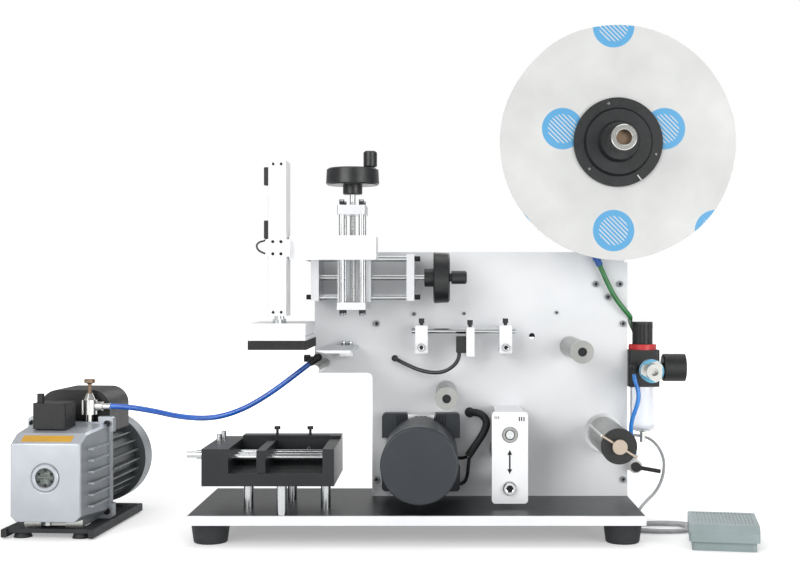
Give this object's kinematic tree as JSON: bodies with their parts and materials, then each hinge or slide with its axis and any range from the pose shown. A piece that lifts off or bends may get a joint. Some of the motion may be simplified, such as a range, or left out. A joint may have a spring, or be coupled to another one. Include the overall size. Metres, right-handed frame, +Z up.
{
  "type": "semi-automatic bottle labelling machine",
  "caption": "Bench-top semi-automatic label applicator: reel, slides, pneumatic suction head, bottle fixture, traction and rewind rollers, with vacuum pump and foot pedal.",
  "frame": {"origin": "on the table, under the middle of the whole set's length and depth", "axes": "+Z up; -Y towards the operator, the side the rollers and the suction head stand on; +X along the base plate, from the pump to the label reel and the pedal"},
  "size_m": [1.051, 0.3672, 0.718],
  "materials": {
    "base_plate": "black anodised top with bare bright edges",
    "base_feet": "soft rubber",
    "main_panel": "pale grey-white powder coat",
    "screws_and_glands": "bright screws, black rubber glands",
    "rear_cover": "pale powder coat",
    "reel_arm": "bright anodised",
    "reel_mandrel": "black core with bright nose",
    "reel_disc": "milky sheet with plain blue motifs",
    "reel_hub": "turned black plastic",
    "x_rail": "anodised plates, ground rods",
    "xz_carriage": "bright anodised",
    "x_spindle": "black handwheel on a steel screw",
    "z_guide_rods": "ground rods",
    "z_spindle": "black handwheel on a steel screw",
    "cross_beam": "bright anodised",
    "cylinder_body": "satin anodised extrusion",
    "reed_switches": "moulded",
    "piston_rods": "hard chrome",
    "suction_head": "bright anodised",
    "suction_pad": "soft closed-cell pad",
    "peel_plate": "brushed",
    "peel_roller": "ground, white end cap",
    "thumb_screws": "moulded",
    "sensor_rail": "anodised blocks on a ground rod",
    "sensor_holder": "anodised clamp, black sensor",
    "drive_motor": "dark grey enamel",
    "motor_pulley": "machined",
    "drive_belts": "toothed rubber belts",
    "spindles_and_bearings": "ground spindles",
    "traction_frame": "pale anodised plate",
    "drive_roller": "rubber-covered steel",
    "pinch_roller": "knurled steel",
    "guide_roller_1": "bright anodised tube",
    "guide_roller_2": "bright anodised tube",
    "rewind_drum": "bright drum, black end disc, chrome clip",
    "fixture_body": "black anodised",
    "fixture_rods": "ground rods and posts",
    "fixture_jaw": "black anodised",
    "fixture_screw": "steel screw and knob",
    "regulator_body": "black block and gauge, red ring",
    "regulator_knob": "moulded, fluted",
    "regulator_bowl": "clear polycarbonate",
    "air_fittings": "push-in fittings, nickel nuts",
    "valve_lever": "moulded",
    "pump_casing": "silver-grey enamel",
    "pump_motor": "dark enamel on ribbed casting",
    "pump_covers": "moulded",
    "pump_inlet": "nickel and brass",
    "pump_frame": "black frame on rubber cups",
    "pedal_base": "satin grey",
    "pedal_cover": "satin grey, ribbed",
    "vacuum_hose": "blue polyurethane tube",
    "green_hose": "polyurethane tube",
    "blue_hose": "polyurethane tube",
    "pedal_cable": "grey sheath",
    "pedal_coil": "grey sheath",
    "pedal_tail": "grey sheath",
    "sensor_cable": "black sheath",
    "motor_cable": "black braided sleeve",
    "motor_leads": "black sheath"
  },
  "bodies": {
    "machine": {"base_plate": "base_plate", "base_feet": "base_feet", "main_panel": "main_panel", "screws_and_glands": "screws_and_glands", "rear_cover": "rear_cover", "reel_arm": "reel_arm", "x_rail": "x_rail", "peel_plate": "peel_plate", "thumb_screws": "thumb_screws", "sensor_rail": "sensor_rail", "drive_motor": "drive_motor", "drive_belts": "drive_belts", "spindles_and_bearings": "spindles_and_bearings", "traction_frame": "traction_frame", "fixture_body": "fixture_body", "fixture_rods": "fixture_rods", "regulator_body": "regulator_body", "regulator_bowl": "regulator_bowl", "air_fittings": "air_fittings", "pump_casing": "pump_casing", "pump_motor": "pump_motor", "pump_covers": "pump_covers", "pump_inlet": "pump_inlet", "pump_frame": "pump_frame", "pedal_base": "pedal_base", "vacuum_hose": "vacuum_hose", "green_hose": "green_hose", "blue_hose": "blue_hose", "pedal_cable": "pedal_cable", "pedal_coil": "pedal_coil", "pedal_tail": "pedal_tail", "sensor_cable": "sensor_cable", "motor_cable": "motor_cable", "motor_leads": "motor_leads"},
    "reel": {"reel_mandrel": "reel_mandrel", "reel_disc": "reel_disc", "reel_hub": "reel_hub"},
    "carriage": {"xz_carriage": "xz_carriage", "z_guide_rods": "z_guide_rods"},
    "x_wheel": {"x_spindle": "x_spindle"},
    "z_wheel": {"z_spindle": "z_spindle"},
    "beam": {"cross_beam": "cross_beam", "cylinder_body": "cylinder_body", "reed_switches": "reed_switches"},
    "head": {"piston_rods": "piston_rods", "suction_head": "suction_head", "suction_pad": "suction_pad"},
    "guide_1": {"guide_roller_1": "guide_roller_1"},
    "guide_2": {"guide_roller_2": "guide_roller_2"},
    "peel_roll": {"peel_roller": "peel_roller"},
    "drive_roll": {"drive_roller": "drive_roller"},
    "pinch_roll": {"pinch_roller": "pinch_roller"},
    "motor_shaft": {"motor_pulley": "motor_pulley"},
    "rewinder": {"rewind_drum": "rewind_drum"},
    "sensor": {"sensor_holder": "sensor_holder"},
    "jaw": {"fixture_jaw": "fixture_jaw"},
    "jaw_screw": {"fixture_screw": "fixture_screw"},
    "pressure_knob": {"regulator_knob": "regulator_knob"},
    "lever": {"valve_lever": "valve_lever"},
    "treadle": {"pedal_cover": "pedal_cover"}
  },
  "joints": [
    {"name": "reel_spin", "type": "hinge", "parent": "machine", "child": "reel", "pos_m": [0.329, 0, 0.552], "axis": [0, 1, 0], "continuous": true},
    {"name": "x_slide", "type": "slide", "parent": "machine", "child": "carriage", "axis": [1, 0, 0], "range_m": [-0.025, 0.0035]},
    {"name": "x_wheel_turn", "type": "hinge", "parent": "machine", "child": "x_wheel", "pos_m": [0, -0.027, 0.364], "axis": [1, 0, 0], "range_deg": [-1130, 185]},
    {"name": "z_slide", "type": "slide", "parent": "carriage", "child": "beam", "axis": [0, 0, 1], "range_m": [-0.02, 0.02]},
    {"name": "z_wheel_turn", "type": "hinge", "parent": "carriage", "child": "z_wheel", "pos_m": [-0.0405, -0.087, 0], "axis": [0, 0, 1], "range_deg": [-1805, 1805]},
    {"name": "cylinder_stroke", "type": "slide", "parent": "beam", "child": "head", "axis": [0, 0, -1], "range_m": [0, 0.1]},
    {"name": "guide_1_spin", "type": "hinge", "parent": "machine", "child": "guide_1", "pos_m": [0.2725, 0, 0.263], "axis": [0, 1, 0], "continuous": true},
    {"name": "guide_2_spin", "type": "hinge", "parent": "machine", "child": "guide_2", "pos_m": [0.0902, 0, 0.1978], "axis": [0, 1, 0], "continuous": true},
    {"name": "peel_spin", "type": "hinge", "parent": "machine", "child": "peel_roll", "pos_m": [-0.088, 0, 0.2387], "axis": [0, 1, 0], "continuous": true},
    {"name": "drive_spin", "type": "hinge", "parent": "machine", "child": "drive_roll", "pos_m": [0.179, 0, 0.144], "axis": [0, 1, 0], "continuous": true},
    {"name": "pinch_spin", "type": "hinge", "parent": "machine", "child": "pinch_roll", "pos_m": [0.16761, 0, 0.11271], "axis": [0, 1, 0], "continuous": true},
    {"name": "motor_spin", "type": "hinge", "parent": "machine", "child": "motor_shaft", "pos_m": [0.0533, 0, 0.109], "axis": [0, 1, 0], "continuous": true},
    {"name": "rewind_spin", "type": "hinge", "parent": "machine", "child": "rewinder", "pos_m": [0.3225, 0, 0.1356], "axis": [0, 1, 0], "continuous": true},
    {"name": "sensor_slide", "type": "slide", "parent": "machine", "child": "sensor", "axis": [1, 0, 0], "range_m": [-0.006, 0.03]},
    {"name": "jaw_slide", "type": "slide", "parent": "machine", "child": "jaw", "axis": [1, 0, 0], "range_m": [-0.036, 0.074]},
    {"name": "jaw_screw_turn", "type": "hinge", "parent": "machine", "child": "jaw_screw", "pos_m": [0, -0.072, 0.115], "axis": [1, 0, 0], "range_deg": [-3245, 6665]},
    {"name": "pressure_turn", "type": "hinge", "parent": "machine", "child": "pressure_knob", "pos_m": [0.38075, 0.023, 0], "axis": [0, 0, 1], "range_deg": [-720, 720]},
    {"name": "valve_turn", "type": "hinge", "parent": "machine", "child": "lever", "pos_m": [0.368, 0, 0.087], "axis": [0, 1, 0], "range_deg": [0, 80]},
    {"name": "treadle_press", "type": "hinge", "parent": "machine", "child": "treadle", "pos_m": [0.4757, -0.07254, 0.017], "axis": [0.9857, -0.1685, 0], "range_deg": [0, 3.5], "stiffness_Nm_per_rad": 3, "springref_deg": -6.88}
  ],
  "couplings": [
    {"joint": "x_wheel_turn", "follows": "x_slide", "rad_per_m": 785.4},
    {"joint": "z_wheel_turn", "follows": "z_slide", "rad_per_m": 1570.8},
    {"joint": "jaw_screw_turn", "follows": "jaw_slide", "rad_per_m": 1570.8},
    {"joint": "pinch_spin", "follows": "drive_spin", "ratio": -1.3571},
    {"joint": "motor_spin", "follows": "drive_spin", "ratio": 1.3333},
    {"joint": "rewind_spin", "follows": "drive_spin", "ratio": 0.68182}
  ]
}
